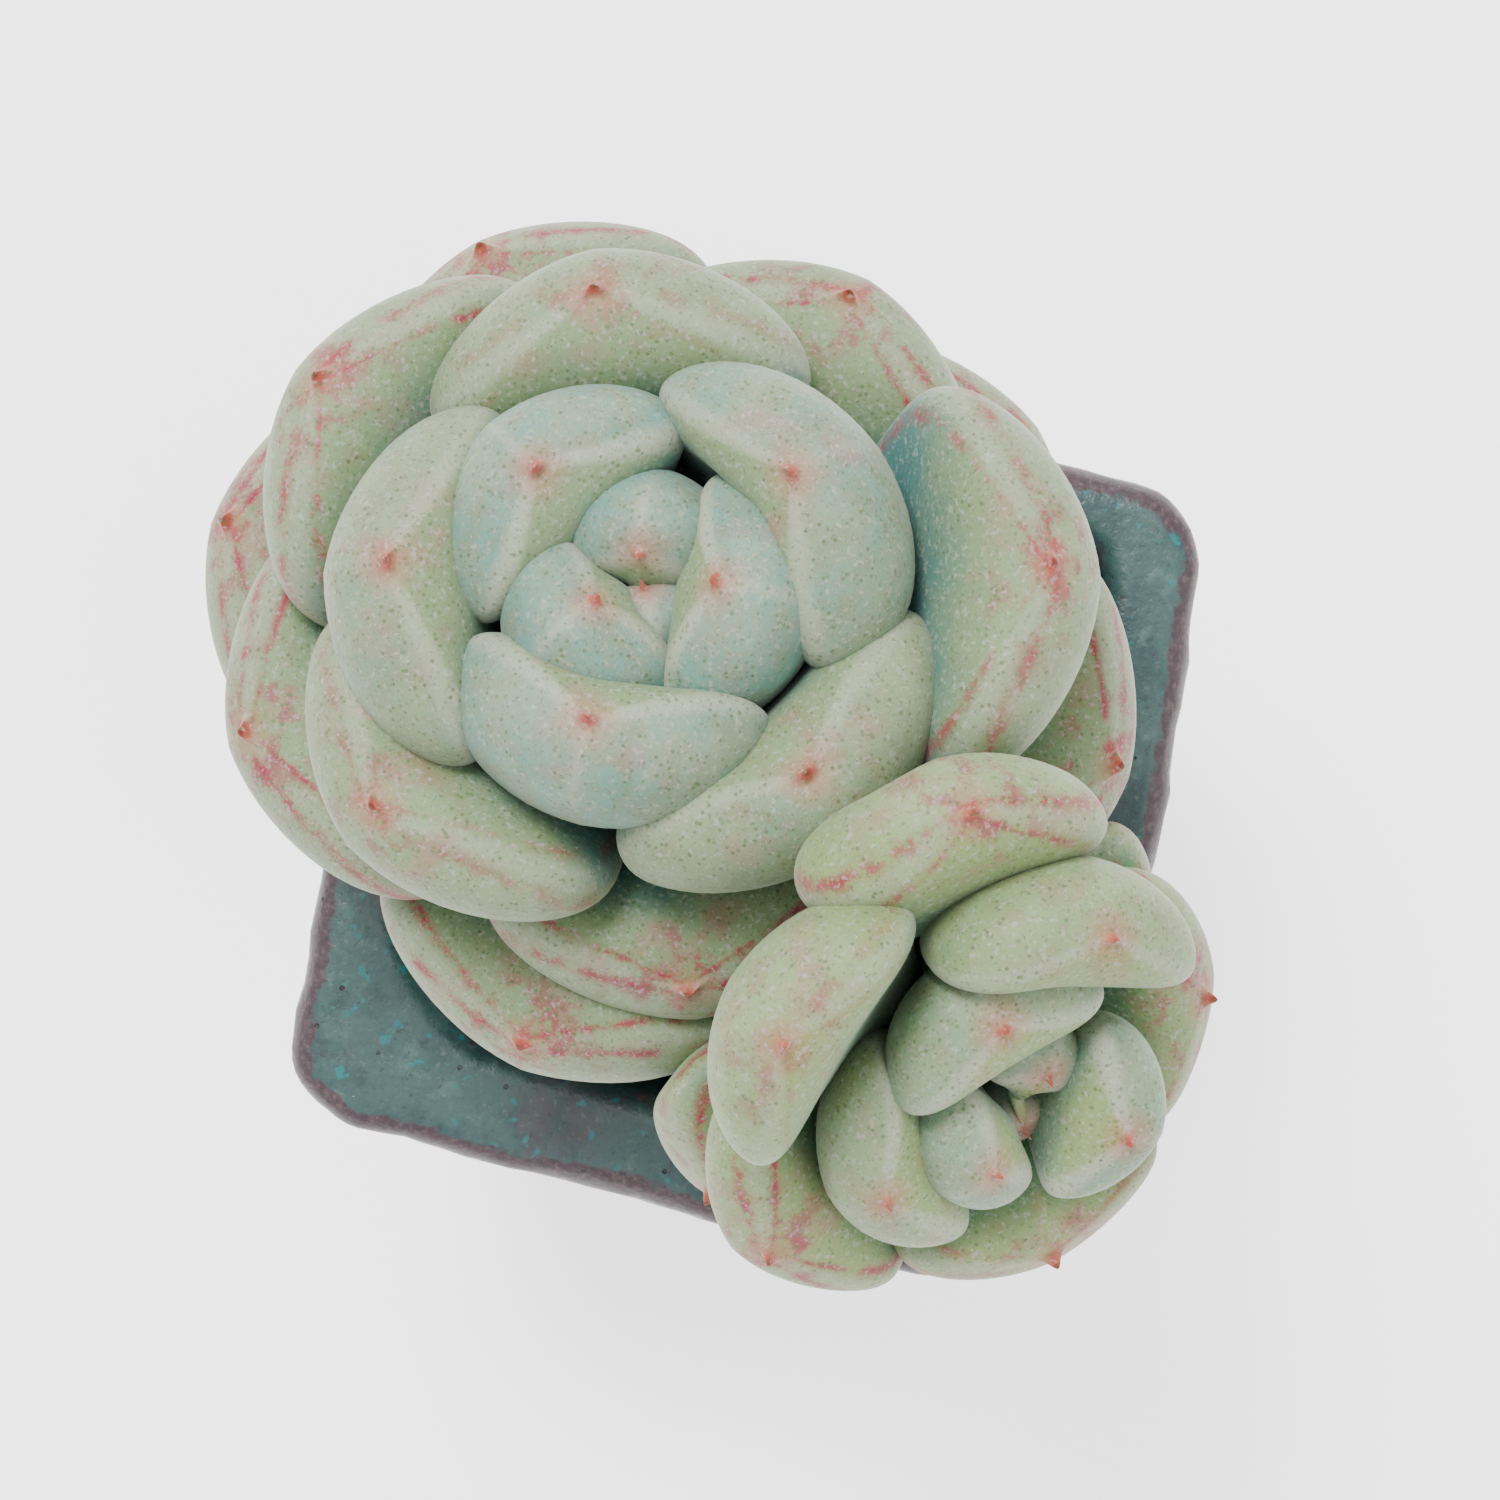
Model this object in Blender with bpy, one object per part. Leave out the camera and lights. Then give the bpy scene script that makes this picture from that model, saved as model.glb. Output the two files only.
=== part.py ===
"""A potted succulent: a fleshy rosette with one smaller offset, planted in a square hand-built pot.

The origin is the middle of the pot's underside, +Z is up, and the pot's sides face X and Y. Each leaf, each
stem, the soil and the pot is one closed solid. The leaves are shaped from the youngest outwards, and each one
is bent clear of those that it wraps, so the rosettes stay tight when a size is changed.
"""

import math
from dataclasses import dataclass, field

import bmesh
import bpy
import numpy as np
from mathutils import Matrix, Vector
from mathutils.bvhtree import BVHTree

MM = 0.001

# ---- Driving dimensions ----------------------------------------------------------------------------------

POT_SIDE = 85 * MM
POT_HEIGHT = 72 * MM
BASE_SIDE = 68 * MM
BASE_EDGE = 2.5 * MM
BASE_CORNER = 9 * MM
RIM_WIDTH = 9.5 * MM
RIM_ROUND = 3 * MM
RIM_CORNERS = [8 * MM, 8 * MM, 8 * MM, 18 * MM]  # anticlockwise from +X +Y
WALL = 6 * MM
FLOOR = 7 * MM
SKEW = 0.048  # hand-built: two opposite corners stand out and two are drawn in
DRAIN_RADIUS = 2.5 * MM
DRAIN_PLACE = 17 * MM

SOIL_BELOW_RIM = 12 * MM
SOIL_MOUND = 2 * MM
PLANTING_DEPTH = 12 * MM

TOUCH_GAP = 0.3 * MM  # between two pieces that touch
LEAF_OVER_RIM = 1.2 * MM  # the lowest leaf's clearance over the pot and soil

STEM_BEND = 8 * MM  # each arm of the bend below the leaves

GOLDEN_ANGLE = math.radians(137.508)

OPENING_CORNERS = [5 * MM, 9 * MM, 15 * MM, 9 * MM]  # anticlockwise from +X +Y
OPENING_SHIFT = (-0.5 * MM, 2.4 * MM)  # hand-built: the rim is thinner at the back

# How a leaf's size follows its number: a grown leaf keeps what a young one has less of.
OPENING_POWER = 1.3  # how suddenly leaves open
WIDENING_POWER = 1.5
WIDTH_HEAD_START = 0.6  # in leaves
LENGTH_HEAD_START = 1.5
CURLED_AT = 1.5  # the leaf number by which two thirds of the curl is there
THIN_SHARE = 0.65  # of the thickness, which the youngest leaves don't have yet
THICK_AT = 5

# A blade's outline and section, from 0 at its base to 1 at its tip.
WIDEST = 1.5  # makes up for what the two powers below take off
WIDTH_RISE = 0.85
WIDTH_FALL = 4.5
THICKEST = 1.18
THICKNESS_RISE = 0.5
THICKNESS_FALL = 7
FACE_SHARE = 0.22  # of the thickness that lies over the margins, the rest being the back
KEEL = 0.35  # how far the back's round section has turned into a keel, at the tip
BASE_CUP = 0.45  # of the cup, at the leaf's base

REACH = 16 * MM  # how far off a leaf looks for the ones that it wraps
SPREADING_ROUNDS = 150  # of smoothing, as a bend spreads over a leaf
FAR = 1.0
SAME_PLACE = 1e-4 * MM
LOOK_ABOUT = 4 * MM  # how deep a neighbour's point may be in a leaf and still be found
EASING_STEPS = 160
POINT_PUSH = 0.6  # of the way, for a leaf that a neighbour's point presses
NEIGHBOUR_SHARE = 0.4  # of each move, taken from the moves round it
CLOSE_ENOUGH = 0.08 * MM  # what may be left of a leaf's last step away from its neighbours
LONGEST_STEP = 0.6 * MM  # when a leaf is eased off its neighbours
THINNING = 0.05  # of the way to its middle, for each step in which a neighbour presses a leaf
LEAF_SIDES = 14
LEAF_RINGS = 9
STEM_SIDES = 12
BEND_STEPS = 3
CORNER_STEPS = 4
RIM_STEPS = 3
MOUND_STEPS = 3


@dataclass
class Rosette:
    """One rosette's sizes. Leaf 1 is the youngest, and each size is a grown leaf's."""

    name: str
    leaves: int
    crown: Vector  # where leaf 1 grows, from the main crown
    lean: float
    lean_towards: float
    first_azimuth: float
    leaf_length: float
    leaf_width: float
    leaf_thickness: float
    spacing: float  # along the stem, from one leaf to the next
    stem_top: float  # the stem's radius at its tip
    stem_taper: float  # its radius gained for each metre down
    wide_at: float  # the leaf number by which two thirds of the width is grown
    long_at: float  # and of its length
    open_at: float  # the leaf number by which a leaf has spread two thirds of its way
    lowest_rise: float  # the oldest leaves' angle above level, at the stem
    young_rise: float  # what the youngest have more
    curl: float  # how far a leaf turns up from its base to its tip
    young_curl: float  # what the youngest have more
    cup: float  # how far a leaf's margins turn in, each side
    young_cup: float  # what the youngest have more
    lost: tuple = ()  # the numbers of leaves that have dropped
    own_ways: dict = field(default_factory=dict)  # leaf number: degrees round, degrees up, degrees of curl, length


MAIN = Rosette(
    name="main",
    leaves=22,
    crown=Vector((0, 0, 0)),
    lean=math.radians(10),
    lean_towards=math.radians(131),
    first_azimuth=math.radians(170),
    leaf_length=44 * MM,
    leaf_width=39 * MM,
    leaf_thickness=11 * MM,
    spacing=1.0 * MM,
    stem_top=0.8 * MM,
    stem_taper=0.15,
    wide_at=5.8,
    long_at=7.5,
    open_at=10,
    lowest_rise=math.radians(8),
    young_rise=math.radians(60),
    curl=math.radians(40),
    young_curl=math.radians(55),
    cup=math.radians(40),
    young_cup=math.radians(38),
    own_ways={
        1: (0, 0, -5, 1),
        2: (-10, 0, 0, 1.05),
        3: (10, 0, 3, 1.05),
        4: (10, 0, 0, 1),
        5: (0, 0, -4, 1),
        6: (9, -6, -5, 1.06),
        7: (-8, 3, -8, 1),
        8: (-12, 3, 0, 1),
        10: (-6, 0, 6, 0.93),
        11: (6, 0, 0, 0.95),
        12: (-11, 0, 0, 0.92),
        13: (-8, -3, 0, 1.18),
        14: (1, -3, 0, 1.04),
        15: (-9, -15, -6, 0.86),
        16: (-2, 6, 0, 0.76),
        17: (-2, -2, 0, 0.93),
        18: (6, -22, 0, 1.04),
        19: (3, -4, 0, 0.9),
        20: (0, -7, 0, 0.86),
        21: (3, 3, 0, 0.64),
        22: (0, 5, 0, 0.85),
    },
)

OFFSET = Rosette(
    name="offset",
    leaves=16,
    crown=Vector((36.5, -33, 4)) * MM,
    lean=math.radians(36),
    lean_towards=math.radians(-38),
    first_azimuth=math.radians(300),
    leaf_length=27 * MM,
    leaf_width=29 * MM,
    leaf_thickness=9 * MM,
    spacing=0.8 * MM,
    stem_top=0.8 * MM,
    stem_taper=0.15,
    wide_at=4.4,
    long_at=5,
    open_at=7,
    lowest_rise=math.radians(4),
    young_rise=math.radians(60),
    curl=math.radians(38),
    young_curl=math.radians(55),
    cup=math.radians(38),
    young_cup=math.radians(38),
    lost=(13,),
    own_ways={
        1: (0, 0, -25, 0.8),
        2: (8, 0, -10, 0.9),
        3: (14, -5, 0, 1.05),
        4: (10, -3, 0, 1.1),
        5: (0, 0, -22, 1.05),
        6: (-50, 0, -5, 0.92),
        7: (52, 0, -5, 1.25),
        8: (-17, -16, 5, 1.55),
        9: (-20, -5, 0, 1),
        10: (22, 12, -10, 1.2),
        11: (-7, 0, 0, 1.03),
        12: (12, 0, 0, 0.92),
        14: (0, -6, 0, 0.9),
        15: (-46, -20, -10, 0.8),
        16: (36, -16, 0, 0.9),
    },
)

MAIN_CROWN_PLACE = Vector((-11.5, 16.2)) * MM  # over the pot's middle

# ---- The leaf ---------------------------------------------------------------------------------------------


@dataclass
class Leaf:
    """One leaf's sizes and its place on the stem."""

    azimuth: float
    depth: float
    start: float
    rise: float
    curl: float
    length: float
    width: float
    thickness: float
    cup: float


def stem_radius(rosette, depth):
    return rosette.stem_top + rosette.stem_taper * depth


def leaf_of(rosette, number):
    """The sizes of one leaf: an older leaf is longer, wider and thicker, and lies lower."""
    round_by, up_by, curl_by, longer = rosette.own_ways.get(number, (0, 0, 0, 1))
    young = math.exp(-((number / rosette.open_at) ** OPENING_POWER))
    curl = (rosette.curl + rosette.young_curl * young) * (1 - math.exp(-number / CURLED_AT))
    grown = 1 - math.exp(-(number + LENGTH_HEAD_START) / rosette.long_at)
    widened = 1 - math.exp(-(((number + WIDTH_HEAD_START) / rosette.wide_at) ** WIDENING_POWER))
    depth = rosette.spacing * number
    return Leaf(
        azimuth=rosette.first_azimuth + GOLDEN_ANGLE * (number - 1) + math.radians(round_by),
        depth=depth,
        start=stem_radius(rosette, depth) + TOUCH_GAP,
        rise=rosette.lowest_rise + rosette.young_rise * young + math.radians(up_by),
        curl=curl + math.radians(curl_by),
        length=rosette.leaf_length * grown * longer,
        width=rosette.leaf_width * widened,
        thickness=rosette.leaf_thickness * (1 - THIN_SHARE * math.exp(-number / THICK_AT)),
        cup=rosette.cup + rosette.young_cup * young,
    )


def blade(leaf, ball):
    """Shapes the points of a unit ball into a leaf, base at -Z and tip at +Z. Gives (points, away).

    away is each point's direction from the leaf's upper face to its back.
    """
    along = np.clip((1 + ball[:, 2]) / 2, 0, 1)
    ring = np.maximum(np.hypot(ball[:, 0], ball[:, 1]), 1e-9)
    across = ball[:, 0] / ring
    upper = ball[:, 1] / ring
    at_pole = ring < 1e-6
    across[at_pole] = upper[at_pole] = 0

    half_width = leaf.width / 2 * WIDEST * along**WIDTH_RISE * np.sqrt(1 - along**WIDTH_FALL)
    depth = leaf.thickness * THICKEST * along**THICKNESS_RISE * np.sqrt(1 - along**THICKNESS_FALL)
    keel = KEEL * along**3
    rounded = (1 - keel) * np.maximum(-upper, 0) + keel * (1 - np.abs(across)) * (upper < 0)
    proud = depth * (FACE_SHARE * np.maximum(upper, 0) - (1 - FACE_SHARE) * rounded)

    bend = leaf.cup * (BASE_CUP + (1 - BASE_CUP) * along)
    turn = across * bend
    bend_radius = half_width / bend
    lateral = (bend_radius - proud) * np.sin(turn)
    lifted = bend_radius - (bend_radius - proud) * np.cos(turn)

    rise = leaf.rise + leaf.curl * along
    out = leaf.start + leaf.length * (np.sin(rise) - math.sin(leaf.rise)) / leaf.curl
    up = -leaf.depth + leaf.length * (math.cos(leaf.rise) - np.cos(rise)) / leaf.curl
    out = out - lifted * np.sin(rise)
    up = up + lifted * np.cos(rise)

    radial = np.array([math.cos(leaf.azimuth), math.sin(leaf.azimuth), 0])
    sideways = np.array([-math.sin(leaf.azimuth), math.cos(leaf.azimuth), 0])
    upward = np.array([0, 0, 1])
    points = out[:, None] * radial + lateral[:, None] * sideways + up[:, None] * upward
    away = np.sin(rise)[:, None] * radial - np.cos(rise)[:, None] * upward
    return points, away


# ---- Keeping the leaves clear of each other ------------------------------------------------------------------


class Crowd:
    """The solids that are already in place, as one set of points and faces."""

    def __init__(self):
        self.points = np.zeros((0, 3))
        self.faces = []
        self.tree = None

    def add(self, points, faces):
        first = len(self.points)
        self.points = np.vstack([self.points, points])
        self.faces += [tuple(first + corner for corner in face) for face in faces]
        self.tree = BVHTree.FromPolygons(self.points.tolist(), self.faces)


def near_surface(tree, point, limit=FAR):
    """(depth, way, faces): how far the point is outside the solids, below 0 inside, the shortest way out, and the
    faces there. At an edge or a corner these are all the faces that meet there, so none of them is favoured.
    """
    point = Vector(point)
    place, _, _, distance = tree.find_nearest(point, limit)
    if place is None:
        return limit, np.zeros(3), []
    there = sorted((face, *normal) for _, normal, face, _ in tree.find_nearest_range(point, distance + SAME_PLACE))
    outward = np.array([normal for _, *normal in there]).sum(axis=0)
    faces = [face for face, *_ in there]
    if distance < SAME_PLACE:
        return 0, outward / np.linalg.norm(outward), faces
    way = np.array(point - place) / distance
    if way @ outward < 0:
        return -distance, -way, faces
    return distance, way, faces


def mean_around(grid):
    """The mean of each grid place's four neighbours, an edge counting as its own neighbour."""
    framed = np.pad(grid, [(1, 1), (1, 1), *[(0, 0)] * (grid.ndim - 2)], mode="edge")
    return (framed[:-2, 1:-1] + framed[2:, 1:-1] + framed[1:-1, :-2] + framed[1:-1, 2:]) / 4


def swing_clear(points, away, grid, crowd):
    """Bends a leaf outwards from its base, like a hinge that also twists, until it wraps what is inside it."""
    rows, columns = grid.max(axis=0) + 1
    need = np.zeros((rows, columns))
    for index, (row, column) in enumerate(grid):
        start = points[index] + away[index] * REACH
        place, _, _, distance = crowd.tree.ray_cast(Vector(start), Vector(-away[index]), REACH + TOUCH_GAP)
        if place is not None:
            need[row, column] = max(need[row, column], REACH - distance + TOUCH_GAP)
    need[-1] = need[-1].max()
    bent = need.copy()
    for _ in range(SPREADING_ROUNDS):
        bent = np.maximum(need, mean_around(bent))
        bent[0] = need[0].max()
        bent[-1] = bent[-1].max()
    return points + away * bent[grid[:, 0], grid[:, 1]][:, None]


def ease_apart(points, faces, grid, crowd):
    """Moves a leaf's columns off the solids around it, and thins the leaf where it is held from both sides.

    A column is the point or two that share a place in the grid, so a leaf never turns inside out.
    """
    rows, columns = grid.max(axis=0) + 1
    cell = grid[:, 0] * columns + grid[:, 1]
    in_cell = np.maximum(np.bincount(cell, minlength=rows * columns), 1)[:, None]
    margin = TOUCH_GAP + 3 * MM
    low, high = points.min(axis=0) - margin, points.max(axis=0) + margin
    close = crowd.points[((crowd.points > low) & (crowd.points < high)).all(axis=1)]
    best, clearest = (math.inf, math.inf), points
    for step in range(EASING_STEPS):
        gap = TOUCH_GAP * (1 + step / EASING_STEPS)
        moves = np.zeros_like(points)
        for index, point in enumerate(points):
            depth, way, _ = near_surface(crowd.tree, point)
            if depth < gap:
                moves[index] = way * (gap - depth)
        tree = BVHTree.FromPolygons(points.tolist(), faces)
        for point in close:
            depth, way, pressed = near_surface(tree, point, gap + LOOK_ABOUT)
            if depth < gap:
                corners = sorted({corner for face in pressed for corner in faces[face]})
                moves[corners] -= way * (gap - depth) * POINT_PUSH
        longest = np.linalg.norm(moves, axis=1).max()
        crossings = len(tree.overlap(crowd.tree))
        if (crossings, longest) < best:
            best, clearest = (crossings, longest), points
        if crossings == 0 and longest < CLOSE_ENOUGH:
            break
        moves *= min(1, LONGEST_STEP / max(longest, 1e-9))
        shift = np.zeros((rows * columns, 3))
        middle = np.zeros((rows * columns, 3))
        np.add.at(shift, cell, moves)
        np.add.at(middle, cell, points)
        middle /= in_cell
        shift = shift.reshape(rows, columns, 3)
        shift = (1 - NEIGHBOUR_SHARE) * shift + NEIGHBOUR_SHARE * mean_around(shift)
        shift[0], shift[-1] = shift[0].mean(axis=0), shift[-1].mean(axis=0)
        to_middle = middle[cell] - points
        squeezed = (moves * to_middle).sum(axis=1) > 0
        thinner = np.where(squeezed & (in_cell[cell, 0] == 2), THINNING, 0)[:, None]
        points = points + shift.reshape(-1, 3)[cell] + to_middle * thinner
    return clearest


# ---- Meshes ----------------------------------------------------------------------------------------------------


def ball_mesh():
    """The unit ball that each leaf is shaped from: (points, faces, grid), grid being each point's ring and column.

    Columns count across the leaf, so a point of the upper face and the one behind it share a column.
    """
    points = [(0, 0, -1)]
    for ring in range(1, LEAF_RINGS):
        polar = math.pi * ring / LEAF_RINGS
        for side in range(LEAF_SIDES):
            around = 2 * math.pi * side / LEAF_SIDES - math.pi / 2
            points.append((math.sin(polar) * math.cos(around), math.sin(polar) * math.sin(around), -math.cos(polar)))
    points = np.array([*points, (0, 0, 1)])
    tip = len(points) - 1
    faces = []
    for side in range(LEAF_SIDES):
        after = (side + 1) % LEAF_SIDES
        faces.append((0, 1 + after, 1 + side))
        for first in range(1, tip - LEAF_SIDES, LEAF_SIDES):
            above = first + LEAF_SIDES
            faces.append((first + side, first + after, above + after))
            faces.append((first + side, above + after, above + side))
        faces.append((tip - LEAF_SIDES + side, tip - LEAF_SIDES + after, tip))
    ring = np.rint((1 - np.arccos(np.clip(points[:, 2], -1, 1)) / math.pi) * LEAF_RINGS).astype(int)
    column = np.floor(np.arctan2(np.abs(points[:, 1]), points[:, 0]) / math.pi * LEAF_SIDES / 2).astype(int)
    return points, faces, np.stack([ring, column], axis=1)


def axis_frame(rosette):
    """The rosette's own frame: its stem along +Z, with leaf azimuths measured from the pot's +X."""
    tilt_axis = Vector((-math.sin(rosette.lean_towards), math.cos(rosette.lean_towards), 0))
    return Matrix.Translation(rosette.crown) @ Matrix.Rotation(rosette.lean, 4, tilt_axis)


def loft(levels):
    """A solid through levels of equal point counts, its first and last levels capped: (points, faces).

    Each level runs anticlockwise, seen from where the next one lies.
    """
    count = len(levels[0])
    faces = [tuple(reversed(range(count)))]
    for first in range(0, count * (len(levels) - 1), count):
        for index in range(count):
            after = (index + 1) % count
            faces.append((first + index, first + after, first + count + after, first + count + index))
    faces.append(tuple(range(count * (len(levels) - 1), count * len(levels))))
    return [tuple(point) for level in levels for point in level], faces


def leafy_length(rosette):
    return rosette.spacing * (rosette.leaves + 2)


def stem(rosette, floor=None, grow=0.0):
    """The stem: straight where it bears leaves, bent upright below them, and down to the floor if one is given."""
    frame = axis_frame(rosette)
    upright = Vector((0, 0, 1))
    along = frame.to_3x3() @ upright
    leafy = leafy_length(rosette)
    bend = frame @ Vector((0, 0, -leafy))
    path = [(frame @ Vector((0, 0, grow)), along, 0), (bend, along, leafy)]
    if floor is not None:
        corner = bend - along * STEM_BEND
        arc_foot = corner - upright * STEM_BEND
        for step in range(1, BEND_STEPS + 1):
            share = step / BEND_STEPS
            place = bend.lerp(corner, share).lerp(corner.lerp(arc_foot, share), share)
            path.append((place, along.lerp(upright, share), leafy + 2 * share * STEM_BEND))
        foot = Vector((corner.x, corner.y, floor - grow))
        path.append((foot, upright, leafy + 2 * STEM_BEND + (arc_foot - foot).z))
    levels = []
    for place, direction, depth in reversed(path):
        turned = direction.to_track_quat("Z", "Y")
        radius = stem_radius(rosette, depth) + grow
        angles = [2 * math.pi * step / STEM_SIDES for step in range(STEM_SIDES)]
        levels.append([place + turned @ Vector((math.cos(a), math.sin(a), 0)) * radius for a in angles])
    return loft(levels)


def grow_plant():
    """The leaves of both rosettes, as name: points, in a frame whose origin is the main crown."""
    ball, faces, grid = ball_mesh()
    crowd = Crowd()
    for rosette in (MAIN, OFFSET):
        crowd.add(*stem(rosette))
    leaves = {}
    for rosette in (MAIN, OFFSET):
        frame = np.array(axis_frame(rosette))
        own = Crowd()
        for number in range(1, rosette.leaves + 1):
            if number in rosette.lost:
                continue
            points, away = blade(leaf_of(rosette, number), ball)
            points = points @ frame[:3, :3].T + frame[:3, 3]
            away = away @ frame[:3, :3].T
            if own.tree:
                points = swing_clear(points, away, grid, own)
            points = ease_apart(points, faces, grid, crowd)
            own.add(points, faces)
            crowd.add(points, faces)
            leaves[f"{rosette.name}_leaf_{number:02d}"] = points
    return leaves, faces


# ---- The pot and the soil ------------------------------------------------------------------------------------


def rounded_square(half, corners, height, centre=(0, 0)):
    """One level of the pot: a skewed square with its four corner radii, anticlockwise from +X +Y."""
    points = []
    for quarter, radius in enumerate(corners):
        middle = math.pi / 4 + quarter * math.pi / 2
        at_x = math.copysign(half - radius, math.cos(middle))
        at_y = math.copysign(half - radius, math.sin(middle))
        for step in range(CORNER_STEPS + 1):
            angle = (quarter + step / CORNER_STEPS) * math.pi / 2
            x = centre[0] + at_x + radius * math.cos(angle)
            y = centre[1] + at_y + radius * math.sin(angle)
            points.append(Vector((x - SKEW * y, y - SKEW * x, height)))
    return points


def inside_level(height, inset=0.0):
    """The pot's inner wall at a height: from the opening at the rim down to the narrower floor."""
    share = (height - FLOOR) / (POT_HEIGHT - FLOOR)
    half = (1 - share) * (BASE_SIDE / 2 - WALL) + share * (POT_SIDE / 2 - RIM_WIDTH)
    corners = [radius - inset for radius in OPENING_CORNERS]
    centre = (share * OPENING_SHIFT[0], share * OPENING_SHIFT[1])
    return rounded_square(half - inset, corners, height, centre)


def pot():
    base = [BASE_CORNER] * 4
    levels = [
        rounded_square(BASE_SIDE / 2 - BASE_EDGE, [BASE_CORNER - BASE_EDGE] * 4, 0),
        rounded_square(BASE_SIDE / 2, base, BASE_EDGE),
    ]
    for step in range(RIM_STEPS + 1):
        angle = step / RIM_STEPS * math.pi / 2
        inset = RIM_ROUND * (1 - math.cos(angle))
        height = POT_HEIGHT - RIM_ROUND * (1 - math.sin(angle))
        levels.append(rounded_square(POT_SIDE / 2 - inset, [radius - inset for radius in RIM_CORNERS], height))
    for step in range(RIM_STEPS + 1):
        angle = step / RIM_STEPS * math.pi / 2
        inset = RIM_ROUND * (1 - math.sin(angle))
        height = POT_HEIGHT - RIM_ROUND * (1 - math.cos(angle))
        level = inside_level(height, -inset)
        levels.append([Vector((point.x, point.y, height)) for point in level])
    levels.append(inside_level(FLOOR))
    return loft(levels)


def soil():
    surface = POT_HEIGHT - SOIL_BELOW_RIM
    levels = [inside_level(FLOOR + TOUCH_GAP, TOUCH_GAP)]
    levels.append(inside_level(surface, TOUCH_GAP))
    for step in range(1, MOUND_STEPS):
        share = step / MOUND_STEPS
        height = surface + SOIL_MOUND * math.sin(share * math.pi / 2)
        centre = sum(levels[1], Vector()) / len(levels[1])
        level = [point.lerp(centre, share * 0.9) for point in levels[1]]
        levels.append([Vector((point.x, point.y, height)) for point in level])
    return loft(levels)


# ---- Objects ---------------------------------------------------------------------------------------------------


def material(name, colour, roughness):
    made = bpy.data.materials.new(name)
    made.use_nodes = True
    shader = made.node_tree.nodes["Principled BSDF"]
    shader.inputs["Base Color"].default_value = (*colour, 1)
    shader.inputs["Roughness"].default_value = roughness
    shader.inputs["Metallic"].default_value = 0
    return made


def solid(name, points, faces, collection, lift=(0, 0, 0)):
    mesh = bpy.data.meshes.new(name)
    mesh.from_pydata([Vector(point) + Vector(lift) for point in points], [], faces)
    thing = bpy.data.objects.new(name, mesh)
    collection.objects.link(thing)
    return thing


def finish(thing, made_of):
    thing.data.materials.append(made_of)
    thing.data.shade_smooth()
    thing.data.set_sharp_from_angle(angle=math.radians(50))


def cut(thing, cutter):
    """Takes the cutter's shape out of a thing."""
    cutter.hide_render = True
    cutter.display_type = "WIRE"
    difference = thing.modifiers.new(cutter.name, "BOOLEAN")
    difference.operation = "DIFFERENCE"
    difference.object = cutter


def drain_hole(name, place, collection):
    shape = bmesh.new()
    bmesh.ops.create_cone(
        shape, cap_ends=True, segments=16, radius1=DRAIN_RADIUS, radius2=DRAIN_RADIUS, depth=3 * FLOOR
    )
    mesh = bpy.data.meshes.new(name)
    shape.to_mesh(mesh)
    shape.free()
    hole = bpy.data.objects.new(name, mesh)
    hole.location = (*place, 0)
    collection.objects.link(hole)
    return hole


def crown_height(pot_points, pot_faces, leaves):
    """How high the main crown stands for every leaf to clear the pot."""
    tree = BVHTree.FromPolygons(pot_points, pot_faces)
    height = 0.0
    for points in leaves.values():
        for point in points:
            above = Vector((point[0] + MAIN_CROWN_PLACE.x, point[1] + MAIN_CROWN_PLACE.y, 1))
            place = tree.ray_cast(above, Vector((0, 0, -1)))[0]
            if place is not None:
                height = max(height, place.z - point[2] + LEAF_OVER_RIM)
    return height


def build():
    for thing in list(bpy.data.objects):
        bpy.data.objects.remove(thing)
    parts = bpy.data.collections.new("potted_succulent")
    cutters = bpy.data.collections.new("cutters")
    bpy.context.scene.collection.children.link(parts)
    bpy.context.scene.collection.children.link(cutters)

    glaze = material("glaze", (0.13, 0.20, 0.19), 0.25)
    earth = material("earth", (0.02, 0.017, 0.014), 0.95)
    leaf_skin = material("leaf_skin", (0.42, 0.50, 0.40), 0.55)
    stem_skin = material("stem_skin", (0.36, 0.33, 0.22), 0.7)

    pot_points, pot_faces = pot()
    holder = solid("pot", pot_points, pot_faces, parts)
    for number, (x, y) in enumerate([(1, 1), (-1, 1), (-1, -1), (1, -1)], 1):
        place = (x * DRAIN_PLACE, y * DRAIN_PLACE)
        cut(holder, drain_hole(f"drain_hole_{number}", place, cutters))
    finish(holder, glaze)

    leaves, leaf_faces = grow_plant()
    crown = Vector((*MAIN_CROWN_PLACE, crown_height(pot_points, pot_faces, leaves)))
    for name, points in leaves.items():
        finish(solid(name, points, leaf_faces, parts, crown), leaf_skin)

    earth_body = solid("soil", *soil(), parts)
    stem_foot = POT_HEIGHT - SOIL_BELOW_RIM - PLANTING_DEPTH - crown.z
    for rosette in (MAIN, OFFSET):
        finish(solid(f"{rosette.name}_stem", *stem(rosette, stem_foot), parts, crown), stem_skin)
        well = stem(rosette, stem_foot, TOUCH_GAP)
        cut(earth_body, solid(f"{rosette.name}_well", *well, cutters, crown))
    finish(earth_body, earth)


build()
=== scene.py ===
"""A potted succulent: two fleshy rosettes of thick bloomy leaves in a square hand-built glazed pot.

The origin is the middle of the pot's underside, +Z is up, and sizes are in metres.
"""

import math
from collections import namedtuple

import bmesh
import bpy
import numpy as np
from mathutils import Matrix, Vector, noise


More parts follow.
